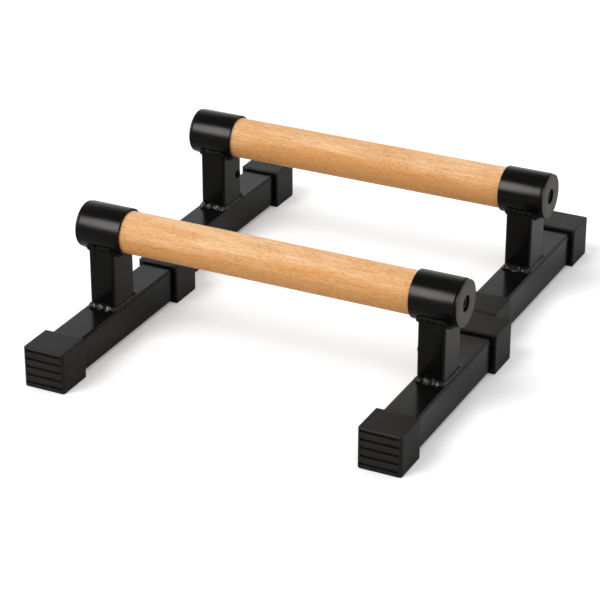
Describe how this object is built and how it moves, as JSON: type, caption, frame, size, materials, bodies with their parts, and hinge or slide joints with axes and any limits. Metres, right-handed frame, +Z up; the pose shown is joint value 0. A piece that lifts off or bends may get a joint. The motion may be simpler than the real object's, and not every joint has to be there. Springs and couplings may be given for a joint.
{
  "type": "parallette bar pair",
  "caption": "Pair of low free-standing exercise bars: round wooden handles on welded steel stands with rubber foot covers.",
  "frame": {"origin": "on the floor, midway between the two bars, under the middle of the pair's bounding box", "axes": "+X along the handles, +Y from the front bar to the rear bar, +Z up"},
  "size_m": [0.381, 0.474, 0.1272],
  "materials": {
    "beech_wood": "clear satin lacquer",
    "black_paint": "satin powder coat",
    "weld_paint": "powder coat over weld bead",
    "cap_paint": "satin powder coat",
    "foot_rubber": "matt, finely textured",
    "plug_rubber": "matt",
    "fastener_steel": "dull zinc plate"
  },
  "bodies": {
    "front_bar": {"front_handle": "beech_wood", "front_left_sleeve": "black_paint", "front_right_sleeve": "black_paint", "front_left_upright": "black_paint", "front_right_upright": "black_paint", "front_left_beam": "black_paint", "front_right_beam": "black_paint", "front_left_sleeve_weld": "weld_paint", "front_right_sleeve_weld": "weld_paint", "front_left_foot_weld": "weld_paint", "front_right_foot_weld": "weld_paint", "front_left_near_cover": "foot_rubber", "front_left_far_cover": "foot_rubber", "front_right_near_cover": "foot_rubber", "front_right_far_cover": "foot_rubber", "front_left_end_cap": "cap_paint", "front_right_end_cap": "cap_paint", "front_screws": "fastener_steel", "front_lock_washers": "fastener_steel", "front_inserts": "fastener_steel", "front_vent_plug": "plug_rubber"},
    "rear_bar": {"rear_handle": "beech_wood", "rear_left_sleeve": "black_paint", "rear_right_sleeve": "black_paint", "rear_left_upright": "black_paint", "rear_right_upright": "black_paint", "rear_left_beam": "black_paint", "rear_right_beam": "black_paint", "rear_left_sleeve_weld": "weld_paint", "rear_right_sleeve_weld": "weld_paint", "rear_left_foot_weld": "weld_paint", "rear_right_foot_weld": "weld_paint", "rear_left_near_cover": "foot_rubber", "rear_left_far_cover": "foot_rubber", "rear_right_near_cover": "foot_rubber", "rear_right_far_cover": "foot_rubber", "rear_left_end_cap": "cap_paint", "rear_right_end_cap": "cap_paint", "rear_screws": "fastener_steel", "rear_lock_washers": "fastener_steel", "rear_inserts": "fastener_steel", "rear_vent_plug": "plug_rubber"}
  },
  "joints": [
    {"name": "rear_bar_spacing", "type": "slide", "parent": "front_bar", "child": "rear_bar", "axis": [0, 1, 0], "range_m": [0, 0.3]}
  ]
}
